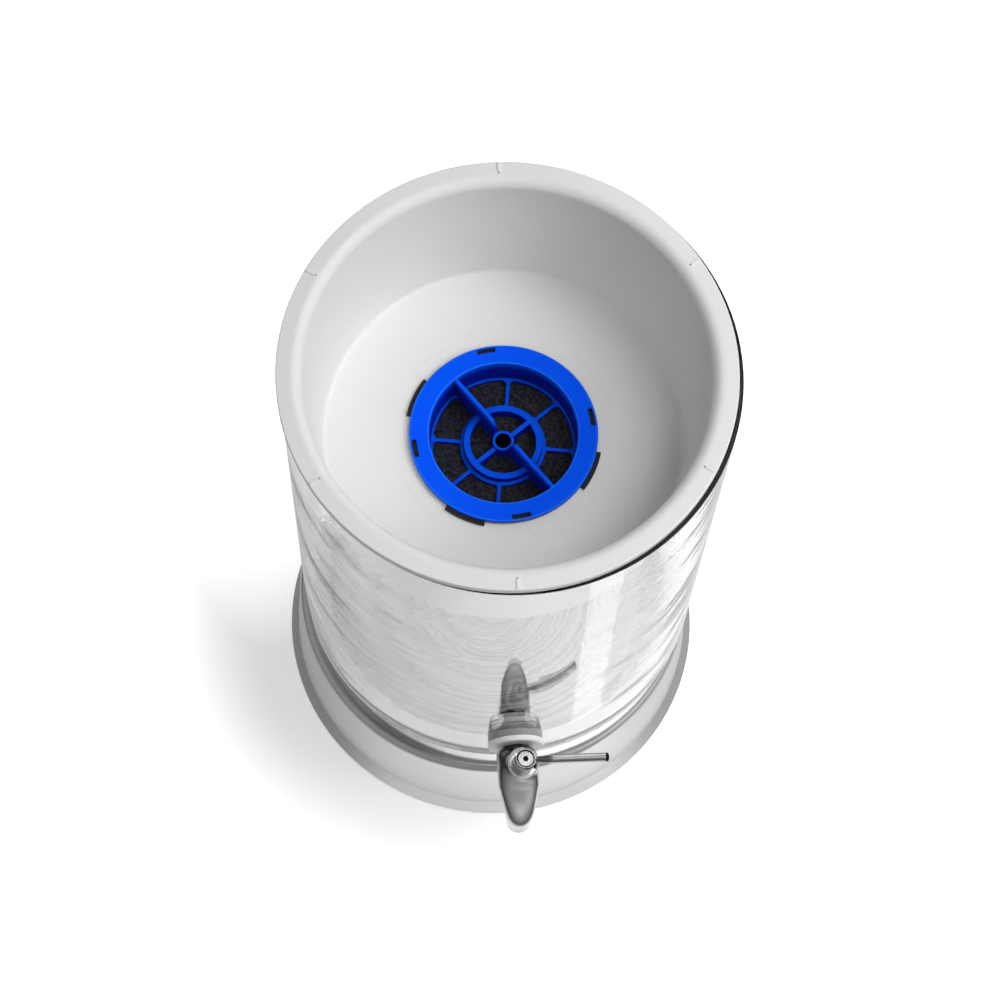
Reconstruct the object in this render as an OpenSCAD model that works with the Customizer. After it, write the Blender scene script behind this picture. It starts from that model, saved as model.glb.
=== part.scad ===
// Gravity water filter for a worktop: a glass tank on a pedestal, with a tap, a lift-out upper
// tray and a twist-in filter cartridge. Millimetres, Z up. The origin is the centre of the
// pedestal's foot on the worktop, and the tap points along -Y.

/* [Pedestal] */
// Width of the ledge's edge that shows round the collar
stand_ledge = 3.9; // [3:0.1:6]
// How much wider the wall gets from the shoulder down to the skirt band
stand_taper = 3.1; // [1:0.1:8]
// How much wider the skirt band gets down to the worktop
stand_flare = 4.7; // [2:0.1:8]
// Height of the skirt band
stand_skirt_h = 9.8; // [7:0.2:14]
// Height of the ledge that carries the tank
stand_h = 70.6; // [60:0.2:90]
// Rounding of the shoulder
stand_round = 3.6; // [2:0.2:4]
// Sheet thickness
stand_wall = 1.5; // [1:0.1:1.8]
// Width of the flange turned in at the foot
stand_flange_w = 12; // [10:0.5:16]
// Height of the rubber foot ring under the flange
foot_lift = 1.2; // [0.8:0.1:2]
// Distance from the pad on the ledge to the shallow dish inside it
dish_inset = 6.9; // [4:0.1:40]
// Depth of the shallow dish
dish_d = 3; // [1:0.5:4]
// Thickness of the pad between ledge and collar
seat_pad_t = 1; // [0.6:0.1:2]
// Width of that pad
seat_pad_w = 9; // [5:0.5:9]

/* [Tank] */
// How far the tank stands to the right of the centre line, within the play of its seat
tank_off = 2; // [0:0.1:2]
// How far the polished collar stands back from the glass
collar_inset = 1.9; // [1.4:0.1:3]
// Height of the collar
collar_h = 26.4; // [18:0.2:40]
// Sheet thickness of the collar
collar_wall = 1.5; // [1:0.1:2.5]
// Thickness of the bonding pad under the glass
glass_pad_t = 1; // [0.6:0.1:2]
// Outer radius of the glass
glass_r = 114.6; // [105:0.1:130]
// Wall of the glass
glass_wall = 4.5; // [4:0.1:5]
// Height of the glass
glass_h = 298.5; // [280:0.5:340]
// Thickness of the glass floor
glass_floor = 8; // [5:0.5:12]
// Rounding of the outer heel
glass_heel = 4; // [2:0.2:4]
// Rounding inside, between floor and wall
glass_fillet = 6; // [4:0.5:14]
// Rounding of the top edge
glass_edge = 1.4; // [0.5:0.1:1.8]

/* [Tray] */
// How far the rim stands back from the outside of the glass
rim_inset = 0.6; // [0:0.1:1]
// Width of the rim, its rounded lip included
rim_w = 12.9; // [12.7:0.1:14]
// Thickness of the rim
tray_rim_t = 4.5; // [3.5:0.1:6]
// Depth from the rim to the floor
tray_depth = 87.2; // [70:0.2:100]
// How much narrower the inside gets from the top of the wall to the floor
tray_draft = 7.2; // [3:0.1:13]
// Wall thickness
tray_wall = 2.6; // [2:0.1:2.8]
// Floor thickness
tray_floor_t = 3.2; // [2.4:0.1:5]
// Rounding from the wall into the rim
tray_lip = 6; // [3:0.2:6.2]
// Rounding of the crease round the floor
tray_crease = 2.5; // [1:0.1:5]
// Depth of the locating skirt under the rim
skirt_h = 10; // [6:0.5:16]
// Thickness of the locating skirt
skirt_t = 1.8; // [1.2:0.1:2]
// Number of ribs on the rim
rib_count = 6; // [3:1:12]
// Length of a rib
rib_len = 5; // [3:0.5:5]
// Width of a rib
rib_w = 1.2; // [0.8:0.1:2]
// Height of a rib
rib_h = 0.5; // [0.3:0.1:1]
// Width of the bayonet pads under the floor
pad_w = 36; // [28:1:40]
// Thickness of the bayonet pads
pad_t = 3; // [2:0.2:4]
// How far the bayonet pads reach past the lugs' notches
pad_out = 10.3; // [6:0.1:16]

/* [Cartridge] */
// Width of the cap's flange
flange_w = 10.5; // [10.3:0.1:12]
// Thickness of the cap's flange
flange_t = 2; // [1.6:0.1:3]
// Radius of the deep recess at its mouth
recess_r = 38.7; // [36:0.1:46]
// Depth from the flange to the grille
recess_d = 18.3; // [14:0.1:20]
// Wall of the recess
cap_wall = 1.5; // [1:0.1:1.8]
// Thickness of the grille
grille_t = 2.5; // [1.8:0.1:3]
// Distance from the windows to the wall of the recess
window_gap = 1.7; // [1.5:0.1:3]
// Rounding of the windows' outer corners
window_round = 2.8; // [1:0.1:3.4]
// Rounding of the windows' inner corners
window_round_in = 1.2; // [0.5:0.1:2]
// Width of the spokes between the outer windows
spoke_w = 2; // [1.4:0.1:3]
// Width of the two short spokes inside the ring
short_spoke_w = 2.4; // [1.6:0.1:3]
// Inner radius of the raised ring
ring_in_r = 17.3; // [14:0.1:18]
// Width of the raised ring
ring_w = 3.4; // [2.4:0.1:4]
// Width of the low step round the raised ring
ring_step_w = 1.9; // [1.2:0.1:3]
// Height of the raised ring over the grille
ring_h = 4.6; // [2:0.1:6]
// Radius of the hub
hub_r = 5.6; // [5:0.1:7]
// Radius of the hub's socket
hub_bore_r = 4.1; // [3:0.1:4.4]
// Depth of the hub's socket
hub_bore_d = 16; // [12:0.5:18]
// Height of the hub over the grille
hub_h = 6.4; // [5:0.1:8]
// Thickness of the cross fin
fin_t = 1.9; // [1.4:0.1:3]
// Distance from the centre at which the fin's top starts to fall to the hub
fin_fall_r = 11; // [8:0.1:14]
// Length of the slots in the flange
slot_len = 9.8; // [6:0.1:12]
// Width of the slots in the flange
slot_w = 2.6; // [1.6:0.1:3]
// Distance of the slots' middle from the recess
slot_out = 8.1; // [7.5:0.1:8.3]
// Thickness of the gasket
gasket_t = 1.9; // [1.4:0.1:3]
// How far the flange reaches past the gasket
gasket_inset = 0.3; // [0.1:0.1:1]
// How far the gasket's tabs reach past the flange
tab_out = 2.3; // [1.3:0.1:5]
// Half angle of a tab
tab_half = 12.4; // [10:0.1:14]
// Overall length of the cartridge
filter_len = 128.7; // [110:0.1:140]
// How much narrower the housing gets from its neck to its bottom
housing_taper = 6.6; // [4:0.1:9]
// Wall of the housing
housing_wall = 1.8; // [1.2:0.1:2]
// Depth of the carbon bed
carbon_t = 24; // [15:0.5:40]
// Number of ribs down the housing
housing_ribs = 12; // [6:1:16]
// Number of drain slots in its bottom
drain_slots = 12; // [8:1:16]
// How far a bayonet lug stands out of the neck
lug_out = 4.2; // [3:0.1:4.4]
// Height of a bayonet lug
lug_h = 3.4; // [2:0.1:4]
// Half angle of a bayonet lug
lug_half = 7.5; // [5:0.1:8]
// Turn that locks the cartridge, clockwise from above
lock_turn = 32; // [31:0.5:36]

/* [Tap] */
// Height of the shank's axis over the underside of the glass
tap_up = 43.8; // [36:0.2:60]
// Radius of the shank
shank_r = 6.9; // [6:0.1:7]
// Radius of the shank's bore
shank_bore_r = 4.2; // [3.4:0.1:4.4]
// Radius of the back washer
back_washer_r = 15.5; // [13:0.1:17]
// Thickness of the back washer
back_washer_t = 4; // [3:0.1:5]
// Radius of the front washer
front_washer_r = 15.9; // [13:0.1:17]
// Thickness of the front washer
front_washer_t = 3; // [2:0.1:4]
// Radius of the inner washer
inner_washer_r = 13.5; // [12:0.1:15]
// Thickness of the inner washer
inner_washer_t = 2.5; // [2:0.1:4]
// Width across flats of the nut
nut_af = 22; // [20:0.5:24]
// Thickness of the nut
nut_t = 7; // [5:0.5:9]
// How far the neck between washers and body stands out of the shank
neck_step = 0.6; // [0.3:0.1:1.1]
// Length of that neck
neck_len = 1.4; // [1:0.1:4]
// Radius of the body at its back
spout_r = 11.5; // [11.2:0.1:12.5]
// Radius of the spout at its tip
spout_tip_r = 7.1; // [6.6:0.1:8.5]
// Rounding of the body's back edge
spout_back_round = 3.3; // [2:0.1:4]
// Length of the body before it starts to taper
spout_full_len = 20; // [19:0.5:24]
// Straight run before the bend
spout_run = 7.6; // [6:0.1:10]
// Radius of the bend
spout_bend = 23.5; // [22:0.1:28]
// Straight drop after the bend
spout_drop = 18.2; // [14:0.1:30]
// Radius of the outlet bore
outlet_r = 4.8; // [4.4:0.1:5.4]
// Length of the outlet bore
outlet_len = 12; // [8:0.5:13]
// Distance of the valve's axis from the body's back
valve_out = 11.3; // [10.8:0.1:12]
// Lean of the valve's axis to the right
valve_lean = 7; // [0:0.5:8]
// Radius of the valve chamber
chamber_r = 7; // [6.6:0.1:7.2]
// Wall of the liner in the chamber
liner_t = 1.3; // [1:0.1:1.6]
// Radius of the plug's cross bore
plug_bore_r = 3.8; // [3:0.1:4]
// How far the bonnet's flange reaches past the chamber
bonnet_lip = 0.6; // [0.4:0.1:1]
// Thickness of the bonnet's flange
bonnet_t = 1.2; // [0.8:0.1:2]

/* [Lever] */
// Radius of the plug's stem
stem_r = 3.4; // [2.8:0.1:3.6]
// Wall of the lever's hub round the screw's head
hub_wall = 1.05; // [0.9:0.05:1.9]
// Height of the lever's hub
lever_hub_h = 9.2; // [9:0.1:12]
// Radius of the rod
rod_r = 2.55; // [2.2:0.05:2.8]
// Radius of the rod where it leaves the hub
rod_neck_r = 1.7; // [1.6:0.05:1.8]
// Length of the rod's conical neck
rod_neck_len = 9.4; // [6:0.1:14]
// Reach of the rod from the valve's axis
rod_reach = 47.4; // [40:0.2:60]
// Metal left between the screw's well and the rod's root
root_web = 0.4; // [0.4:0.1:0.8]
// Radius of the screw's head
screw_head_r = 4.4; // [3.6:0.1:4.5]
// Thickness of the screw's head
screw_head_t = 1.3; // [1:0.1:1.3]
// Width across flats of its hex socket
socket_af = 3; // [2:0.5:4]

/* [Hidden] */
$fn = 96;
fine_fn = 720;
arc_steps = 6;

// Clearances, and the overrun of every cut past the face that it opens
cut = 1;
run_fit = 0.05;
snug = 0.1;
seat_gap = 0.3;
free_gap = 0.4;
skirt_play = 2.5;

// Heights of the stack
seat_z = stand_h + seat_pad_t;
collar_top_z = seat_z + collar_h;
glass_z = collar_top_z + glass_pad_t;
glass_top_z = glass_z + glass_h;
tray_top_z = glass_top_z + tray_rim_t;
tray_floor_z = tray_top_z - tray_depth;
tray_under_z = tray_floor_z - tray_floor_t;
tap_z = glass_z + tap_up;

// Radii, from the glass inwards to the tray and outwards to the pedestal's foot
glass_in_r = glass_r - glass_wall;
collar_r = glass_r - collar_inset;
stand_neck_r = collar_r + stand_ledge;
stand_skirt_r = stand_neck_r + stand_taper;
stand_foot_r = stand_skirt_r + stand_flare;
tray_rim_r = glass_r - rim_inset;
tray_top_r = tray_rim_r - rim_w;
tray_floor_r = tray_top_r - tray_draft;

// Pedestal
stand_slant = atan2(stand_flare, stand_skirt_h - foot_lift);
stand_edge = 0.6;
flange_in_r = stand_foot_r - stand_flange_w;
foot_inset = 2.4;
foot_edge = 0.4;
foot_rib_t = 2.2;
foot_rib_h = 3;
seat_pad_inset = 2.8;
seat_pad_out_r = collar_r - seat_pad_inset;
seat_pad_in_r = seat_pad_out_r - seat_pad_w;
dish_r = seat_pad_in_r - dish_inset;

// Collar and tank
collar_edge = 1;
collar_foot_w = 9;
collar_top_w = 14;
glass_pad_inset = 2.7;
glass_pad_w = 10;
glass_hole_gap = 1.1;
glass_hole_r = shank_r + glass_hole_gap;

// Tray
tray_slant = atan2(tray_draft, tray_depth - tray_lip);
tray_edge = 0.6;
tray_corner = 3;
skirt_r = glass_in_r - skirt_play;
rib_start_r = tray_top_r + tray_lip + rib_w;
rib_az = 88;

// Cartridge, from the cap's cup outwards to the tray's hole
cap_z = tray_floor_z + gasket_t + flange_t;
flange_z = cap_z - flange_t;
grille_z = cap_z - recess_d;
grille_low_z = grille_z - grille_t;
cap_edge = 0.5;
cap_draft = 0.7;
cap_fillet = 0.9;
hub_floor_t = 1.2;
hub_low_z = grille_z + hub_h - hub_bore_d - hub_floor_t;
cup_out_r = recess_r + cap_wall;
flange_r = recess_r + flange_w;
slot_r = recess_r + slot_out;
window_r = recess_r - window_gap;
ring_out_r = ring_in_r + ring_w;
ring_step_r = ring_out_r + ring_step_w;
tab_r = flange_r + tab_out;
housing_in_r = cup_out_r + snug;
housing_neck_r = housing_in_r + housing_wall;
housing_tip_r = housing_neck_r - housing_taper;
hole_r = housing_neck_r + free_gap;
lug_r = housing_neck_r + lug_out;
lug_z = tray_under_z - pad_t - free_gap - lug_h;
notch_r = lug_r + free_gap;
pad_out_r = notch_r + pad_out;
notch_half = lug_half + 1.5;

// Azimuths of the cartridge's details, counter-clockwise from +X
fin_az = 126;
slot_az = 7;
lug_az = 62;
pad_az = lug_az - lock_turn;
quarters = [0:90:270];
tab_turns = [90:90:270];

// Filling of the cartridge, from the top down
fabric_t = 0.8;
membrane_t = 3;
housing_floor_t = 3;
fabric_z = grille_low_z - fabric_t;
foam_z = hub_low_z - snug;
carbon_z = foam_z - carbon_t;
filter_low_z = cap_z - filter_len;
membrane_z = filter_low_z + housing_floor_t;
resin_z = membrane_z + membrane_t;
housing_corner = 2.5;
housing_rib_w = 1.4;
housing_rib_h = 1.2;
housing_rib_end = 8;
drain_in_r = 12;
drain_out_r = 29;
drain_w = 2.4;

// Tap: stations run outwards from the glass, heights up from the shank's axis
neck_r = shank_r + neck_step;
washers_t = back_washer_t + front_washer_t;
body_out = washers_t + neck_len;
nut_out = glass_wall + inner_washer_t;
shank_tail = 3;
shank_in = nut_out + nut_t + shank_tail;
washer_edge = 0.7;
nut_edge = 1.4;
spout_lip = 0.7;
spout_sides = 32;
spout_rings = 18;
bend_len = spout_bend * PI / 2;
spout_len = spout_run + bend_len + spout_drop;

// Valve: stations run up the leaning axis from a point below the shank's axis
valve_drop = 8;
valve_top = 20;
chamber_low = 1;
boss_rim = 0.8;
bonnet_r = chamber_r + bonnet_lip;
boss_r = bonnet_r + boss_rim;
boss_flare = 2.4;
boss_flare_h = 6;
plug_bore_at = valve_drop / cos(valve_lean);
plug_r = chamber_r - snug - liner_t - run_fit;
bonnet_spigot = 3.2;
plug_top = valve_top - bonnet_spigot - free_gap;
o_ring_t = 1.5;
o_ring_gap = 2.1;
o_ring_down = 1.2;
o_ring_top = plug_top - o_ring_down;

// Lever, along the same axis
hub_low = valve_top + bonnet_t + seat_gap;
hub_top = hub_low + lever_hub_h;
hub_bevel = 0.7;
hub_web = 1.6;
head_sunk = 0.2;
head_bevel = 0.2;
well_gap = 0.7;
well_r = screw_head_r + well_gap;
lever_hub_r = well_r + hub_wall;
well_floor = hub_top - screw_head_t - head_sunk;
stem_top = well_floor - hub_web;
screw_r = 1.5;
screw_len = 8;
socket_d = 1;
rod_root_r = 1.2;
rod_up = well_floor - root_web - snug - rod_root_r;
rod_root_len = 1.6;
rod_root_in = lever_hub_r - rod_root_len;
rod_round = 0.9;
rod_pit_r = 1.3;
rod_pit_d = 0.5;

// Points of an arc from angle a0 to a1
function arc(x, y, r, a0, a1) =
    [for (i = [0:arc_steps])
        let (a = a0 + (a1 - a0) * i / arc_steps)
        [x + r * cos(a), y + r * sin(a)]];

// A piece of the ring between two radii, round azimuth az, in the plane
module ring_piece(r_in, r_out, half, az)
    rotate(az)
        intersection() {
            difference() {
                circle(r_out);
                circle(r_in);
            }
            polygon([[0, 0],
                     [r_out * 2, -r_out * 2 * tan(half)],
                     [r_out * 2, r_out * 2 * tan(half)]]);
        }

// A flat ring with its underside at z
module flat_ring(r_in, r_out, z, t)
    translate([0, 0, z])
        linear_extrude(t)
            difference() {
                circle(r_out);
                circle(r_in);
            }

// Frames of the tank, of the tap's shank and of the valve's leaning axis
module on_tank()
    translate([tank_off, 0, 0])
        children();

module on_shank()
    translate([tank_off, -glass_r, tap_z])
        rotate([90, 0, 0])
            children();

module on_valve()
    on_shank()
        translate([0, -valve_drop, body_out + valve_out])
            rotate([0, 0, -valve_lean])
                rotate([-90, 0, 0])
                    children();

// The pedestal: a drawn shell with a dished top and a flange turned in at the foot
function stand_outside() = concat(
    [[flange_in_r, foot_lift],
     [stand_foot_r - stand_edge, foot_lift],
     [stand_foot_r, foot_lift + stand_edge],
     [stand_skirt_r, stand_skirt_h]],
    arc(stand_neck_r - stand_round, stand_h - stand_round, stand_round, 0, 90),
    [[dish_r, stand_h],
     [dish_r - dish_d, stand_h - dish_d],
     [0, stand_h - dish_d]]);

function stand_inside() = concat(
    [[0, stand_h - dish_d - stand_wall],
     [dish_r - dish_d, stand_h - dish_d - stand_wall],
     [dish_r, stand_h - stand_wall]],
    arc(stand_neck_r - stand_round, stand_h - stand_round, stand_round - stand_wall, 90, 0),
    [[stand_skirt_r - stand_wall, stand_skirt_h],
     [stand_foot_r - stand_wall / cos(stand_slant) - stand_wall * tan(stand_slant),
      foot_lift + stand_wall],
     [flange_in_r, foot_lift + stand_wall]]);

module stand_shell()
    color("silver")
        rotate_extrude()
            polygon(concat(stand_outside(), stand_inside()));

// The rubber ring under the flange, with a rib that centres it
module stand_foot_ring()
    color("dimgray")
        rotate_extrude()
            polygon([[flange_in_r - snug - foot_rib_t, 0],
                     [stand_foot_r - foot_inset - foot_edge, 0],
                     [stand_foot_r - foot_inset, foot_edge],
                     [stand_foot_r - foot_inset, foot_lift],
                     [flange_in_r - snug, foot_lift],
                     [flange_in_r - snug, foot_lift + foot_rib_h],
                     [flange_in_r - snug - foot_rib_t, foot_lift + foot_rib_h]]);

module stand_seat_pad()
    color("gainsboro")
        flat_ring(seat_pad_in_r, seat_pad_out_r, stand_h, seat_pad_t);

// The collar: a polished band with a flange turned in at the foot and one at the top
module collar_band()
    color("lightgray")
        on_tank()
            rotate_extrude()
                polygon([[collar_r - collar_foot_w, seat_z],
                         [collar_r - collar_edge, seat_z],
                         [collar_r, seat_z + collar_edge],
                         [collar_r, collar_top_z - collar_edge],
                         [collar_r - collar_edge, collar_top_z],
                         [collar_r - collar_top_w, collar_top_z],
                         [collar_r - collar_top_w, collar_top_z - collar_wall],
                         [collar_r - collar_wall, collar_top_z - collar_wall],
                         [collar_r - collar_wall, seat_z + collar_wall],
                         [collar_r - collar_foot_w, seat_z + collar_wall]]);

module glass_pad()
    color("white")
        on_tank()
            flat_ring(collar_r - glass_pad_inset - glass_pad_w, collar_r - glass_pad_inset,
                      collar_top_z, glass_pad_t);

// The glass: a thick floor, a straight wall, a fire-rounded rim and the hole for the tap
function glass_section() = concat(
    [[0, glass_z]],
    arc(glass_r - glass_heel, glass_z + glass_heel, glass_heel, -90, 0),
    arc(glass_r - glass_edge, glass_top_z - glass_edge, glass_edge, 0, 90),
    arc(glass_in_r + glass_edge, glass_top_z - glass_edge, glass_edge, 90, 180),
    arc(glass_in_r - glass_fillet, glass_z + glass_floor + glass_fillet, glass_fillet, 0, -90),
    [[0, glass_z + glass_floor]]);

module glass_vessel()
    color("lightcyan")
        difference() {
            on_tank()
                rotate_extrude()
                    polygon(glass_section());
            on_shank()
                translate([0, 0, -glass_wall - glass_wall])
                    cylinder(r = glass_hole_r, h = glass_wall + glass_wall + cut);
        }

// The spout's centre line at length l from the body's back: outwards, up and the tilt there
function spout_at(l) =
    l < spout_run ? [l, 0, 0]
    : l < spout_run + bend_len
        ? let (tilt = 90 * (l - spout_run) / bend_len)
          [spout_run + spout_bend * sin(tilt), spout_bend * (cos(tilt) - 1), tilt]
    : [spout_run + spout_bend, spout_run + bend_len - l - spout_bend, 90];

// The spout's radius at length l: a rounded back, a full barrel, then an easing taper
function spout_radius(l) =
    l < spout_back_round
        ? spout_r - spout_back_round + sqrt(l * (2 * spout_back_round - l))
    : l < spout_full_len ? spout_r
    : let (left = (spout_len - l) / (spout_len - spout_full_len))
      spout_tip_r + (spout_r - spout_tip_r) * left * left;

spout_stations = concat(
    [for (a = [0:15:75]) spout_back_round * (1 - cos(a))],
    [for (i = [0:spout_rings])
        spout_back_round + (spout_len - spout_lip - spout_back_round) * i / spout_rings]);

function spout_ring(l, r) =
    let (p = spout_at(l))
    [for (j = [0:spout_sides - 1])
        let (b = 360 * j / spout_sides)
        [r * cos(b), p[1] + r * sin(b) * cos(p[2]), p[0] + r * sin(b) * sin(p[2])]];

module spout_skin() {
    rings = len(spout_stations) + 1;
    points = concat(
        [for (l = spout_stations) each spout_ring(l, spout_radius(l))],
        spout_ring(spout_len, spout_tip_r - spout_lip));
    sides = [for (i = [0:rings - 2], j = [0:spout_sides - 1])
        let (a = i * spout_sides, k = (j + 1) % spout_sides)
        [a + j, a + spout_sides + j, a + spout_sides + k, a + k]];
    last = rings * spout_sides - 1;
    polyhedron(points, concat(
        [[for (j = [0:spout_sides - 1]) j]],
        sides,
        [[for (j = [0:spout_sides - 1]) last - j]]));
}

// The water's way: through the shank, round the bend and out at the tip
module spout_passage() {
    translate([0, 0, -shank_in - cut])
        cylinder(r = shank_bore_r, h = shank_in + body_out + spout_run + cut);
    translate([0, -spout_bend, body_out + spout_run])
        rotate([90, 0, 90])
            rotate_extrude(angle = 90)
                translate([spout_bend, 0])
                    circle(shank_bore_r);
    translate([0, -spout_bend, body_out + spout_run + spout_bend])
        rotate([90, 0, 0]) {
            cylinder(r = shank_bore_r, h = spout_drop);
            translate([0, 0, spout_drop - outlet_len])
                cylinder(r = outlet_r, h = outlet_len + cut);
        }
}

module tap_body()
    color("lightgray")
        difference() {
            union() {
                on_shank() {
                    translate([0, 0, body_out])
                        spout_skin();
                    translate([0, 0, -shank_in])
                        cylinder(r = shank_r, h = shank_in + body_out + spout_back_round);
                    translate([0, 0, washers_t])
                        cylinder(r = neck_r, h = neck_len + spout_back_round);
                }
                on_valve()
                    rotate_extrude()
                        polygon([[0, valve_drop],
                                 [boss_r + boss_flare, valve_drop],
                                 [boss_r + boss_flare, valve_drop + boss_flare_h / 2],
                                 [boss_r, valve_drop + boss_flare_h],
                                 [boss_r, valve_top],
                                 [0, valve_top]]);
            }
            on_shank()
                spout_passage();
            on_valve()
                translate([0, 0, -chamber_low])
                    cylinder(r = chamber_r, h = chamber_low + valve_top + cut);
        }

// A washer on the shank, with its front edge bevelled
module shank_washer(r, from, t)
    on_shank()
        rotate_extrude()
            polygon([[shank_r + snug, from],
                     [r, from],
                     [r, from + t - washer_edge],
                     [r - washer_edge, from + t],
                     [shank_r + snug, from + t]]);

module tap_washer_front()
    color("whitesmoke")
        shank_washer(front_washer_r, back_washer_t, front_washer_t);

module tap_washer_back()
    color("silver")
        difference() {
            shank_washer(back_washer_r, -back_washer_t, back_washer_t + back_washer_t);
            on_tank()
                cylinder(r = glass_r + snug, h = glass_top_z, $fn = fine_fn);
        }

module tap_washer_inner()
    color("silver")
        difference() {
            shank_washer(inner_washer_r, -nut_out, inner_washer_t + washer_edge);
            on_tank()
                difference() {
                    cylinder(r = glass_r, h = glass_top_z);
                    cylinder(r = glass_in_r - snug, h = glass_top_z, $fn = fine_fn);
                }
        }

// A hex nut with both faces bevelled at its corners
module tap_nut()
    color("lightgray")
        on_shank()
            translate([0, 0, -nut_out - nut_t])
                difference() {
                    intersection() {
                        cylinder(d = nut_af / cos(30), h = nut_t, $fn = 6);
                        rotate_extrude()
                            polygon([[0, 0],
                                     [nut_af / 2, 0],
                                     [nut_af / 2 + nut_edge, nut_edge],
                                     [nut_af / 2 + nut_edge, nut_t - nut_edge],
                                     [nut_af / 2, nut_t],
                                     [0, nut_t]]);
                    }
                    translate([0, 0, -cut])
                        cylinder(r = shank_r + snug, h = nut_t + cut + cut);
                }

// The liner in the chamber, open to the passage on both sides
module valve_liner()
    color("white")
        difference() {
            on_valve()
                difference() {
                    translate([0, 0, -chamber_low])
                        cylinder(r = chamber_r - snug, h = chamber_low + plug_top);
                    translate([0, 0, -chamber_low - cut])
                        cylinder(r = plug_r + run_fit, h = chamber_low + plug_top + cut + cut);
                }
            on_shank()
                cylinder(r = shank_bore_r, h = body_out + spout_full_len + chamber_r);
        }

// The bonnet: a flange on the boss and a spigot that keeps the plug down
module valve_bonnet()
    color("lightgray")
        on_valve()
            rotate_extrude()
                polygon([[stem_r + run_fit, valve_top - bonnet_spigot],
                         [chamber_r - snug, valve_top - bonnet_spigot],
                         [chamber_r - snug, valve_top],
                         [bonnet_r, valve_top],
                         [bonnet_r, valve_top + bonnet_t],
                         [stem_r + run_fit, valve_top + bonnet_t]]);

// The plug: a cross bore, two grooves and the stem that carries the lever
module valve_plug()
    color("gold")
        on_valve()
            difference() {
                union() {
                    translate([0, 0, seat_gap - chamber_low])
                        cylinder(r = plug_r, h = plug_top + chamber_low - seat_gap);
                    cylinder(r = stem_r, h = stem_top);
                }
                translate([-plug_r - cut, 0, plug_bore_at])
                    rotate([0, 90, 0])
                        cylinder(r = plug_bore_r, h = plug_r + plug_r + cut + cut);
                translate([0, 0, stem_top - screw_len])
                    cylinder(r = screw_r + snug, h = screw_len + cut);
                for (i = [0, 1])
                    flat_ring(plug_r - o_ring_t - snug, plug_r + cut,
                              o_ring_top - i * o_ring_gap - o_ring_t / 2 - snug,
                              o_ring_t + snug + snug);
            }

module plug_o_rings()
    color("black")
        on_valve()
            for (i = [0, 1])
                translate([0, 0, o_ring_top - i * o_ring_gap])
                    rotate_extrude()
                        translate([plug_r - o_ring_t / 2, 0])
                            circle(d = o_ring_t);

// The lever's hub: a bevelled barrel with a well for the screw
module lever_hub()
    color("lightgray")
        on_valve()
            difference() {
                rotate_extrude()
                    polygon([[0, hub_low],
                             [lever_hub_r - hub_bevel, hub_low],
                             [lever_hub_r, hub_low + hub_bevel],
                             [lever_hub_r, hub_top - hub_bevel],
                             [lever_hub_r - hub_bevel, hub_top],
                             [0, hub_top]]);
                translate([0, 0, hub_low - cut])
                    cylinder(r = stem_r + snug, h = stem_top - hub_low + snug + cut);
                translate([0, 0, hub_low])
                    cylinder(r = screw_r + snug, h = lever_hub_h);
                translate([0, 0, well_floor])
                    cylinder(r = well_r, h = hub_top - well_floor + cut);
                translate([rod_root_in - snug, 0, rod_up])
                    rotate([0, 90, 0])
                        cylinder(r = rod_root_r + snug, h = lever_hub_r);
            }

// The rod: a root in the hub, a conical neck, a straight grip and a pitted end
module lever_rod()
    color("lightgray")
        on_valve()
            translate([0, 0, rod_up])
                rotate([0, 90, 0])
                    rotate_extrude()
                        polygon(concat(
                            [[0, rod_root_in],
                             [rod_root_r, rod_root_in],
                             [rod_root_r, lever_hub_r + snug],
                             [rod_neck_r, lever_hub_r + snug],
                             [rod_r, lever_hub_r + rod_neck_len]],
                            arc(rod_r - rod_round, rod_reach - rod_round, rod_round, 0, 90),
                            [[rod_pit_r, rod_reach],
                             [rod_pit_r - rod_pit_d / 2, rod_reach - rod_pit_d],
                             [0, rod_reach - rod_pit_d]]));

// The screw that holds the hub on the stem
module hub_screw()
    color("silver")
        on_valve()
            difference() {
                rotate_extrude()
                    polygon([[0, stem_top - screw_len + seat_gap],
                             [screw_r, stem_top - screw_len + seat_gap],
                             [screw_r, well_floor],
                             [screw_head_r, well_floor],
                             [screw_head_r, well_floor + screw_head_t - head_bevel],
                             [screw_head_r - head_bevel, well_floor + screw_head_t],
                             [0, well_floor + screw_head_t]]);
                translate([0, 0, well_floor + screw_head_t - socket_d])
                    cylinder(d = socket_af / cos(30), h = socket_d + cut, $fn = 6);
            }

// The tray's section: rim, lip, tapering wall, creased floor, and back under the rim
function tray_shift(z) = (z - tray_floor_z) * tan(tray_slant);

function tray_section() = concat(
    [[hole_r, tray_under_z]],
    arc(tray_floor_r + tray_shift(tray_under_z) + tray_wall / cos(tray_slant)
            - tray_corner * tan(45 - tray_slant / 2),
        tray_under_z + tray_corner, tray_corner, -90, -tray_slant),
    [[tray_top_r + tray_wall, glass_top_z],
     [skirt_r - skirt_t, glass_top_z],
     [skirt_r - skirt_t, glass_top_z - skirt_h],
     [skirt_r - skirt_t / 3, glass_top_z - skirt_h],
     [skirt_r, glass_top_z - skirt_h + skirt_t],
     [skirt_r, glass_top_z]],
    arc(tray_rim_r - tray_edge, glass_top_z + tray_edge, tray_edge, -90, 0),
    arc(tray_rim_r - tray_edge, tray_top_z - tray_edge, tray_edge, 0, 90),
    arc(tray_top_r + tray_lip, tray_top_z - tray_lip, tray_lip, 90, 180 - tray_slant),
    arc(tray_floor_r - tray_crease * tan(45 - tray_slant / 2), tray_floor_z + tray_crease,
        tray_crease, -tray_slant, -90),
    [[hole_r, tray_floor_z]]);

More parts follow.
